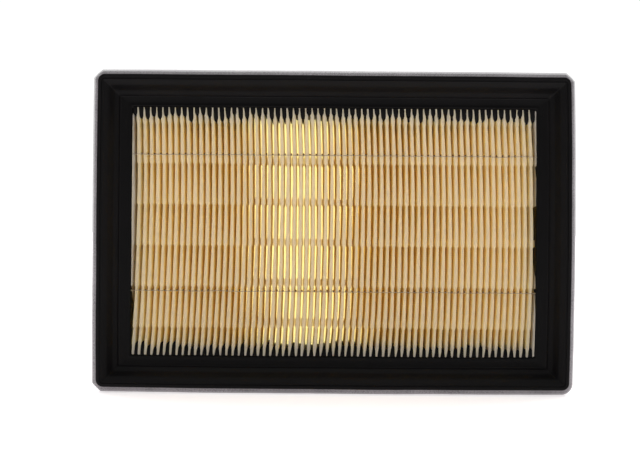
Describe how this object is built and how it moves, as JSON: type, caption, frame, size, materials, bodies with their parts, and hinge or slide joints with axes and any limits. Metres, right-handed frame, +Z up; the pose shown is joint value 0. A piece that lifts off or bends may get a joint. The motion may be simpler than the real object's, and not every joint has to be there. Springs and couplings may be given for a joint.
{
  "type": "panel air filter",
  "caption": "Rectangular panel air filter: a pleated paper sheet cast into a soft black frame with a funnel-shaped inlet and a flared sealing flange.",
  "frame": {"origin": "middle of the filter's footprint, on the surface that it stands on when it stands on its lower long edge", "axes": "+X along the long side, to the right as seen from the inlet face; +Y from the inlet face to the outlet face, along the air flow; +Z up, along the pleats"},
  "size_m": [0.235, 0.042, 0.157],
  "materials": {
    "frame": "satin moulded skin",
    "paper": "fibrous, resin treated, lets light through",
    "thread": "matt, glued"
  },
  "bodies": {
    "root": {"frame": "frame", "pleated_media": "paper", "inlet_thread_upper": "thread", "inlet_thread_lower": "thread", "outlet_thread_upper": "thread", "outlet_thread_lower": "thread"}
  },
  "joints": []
}
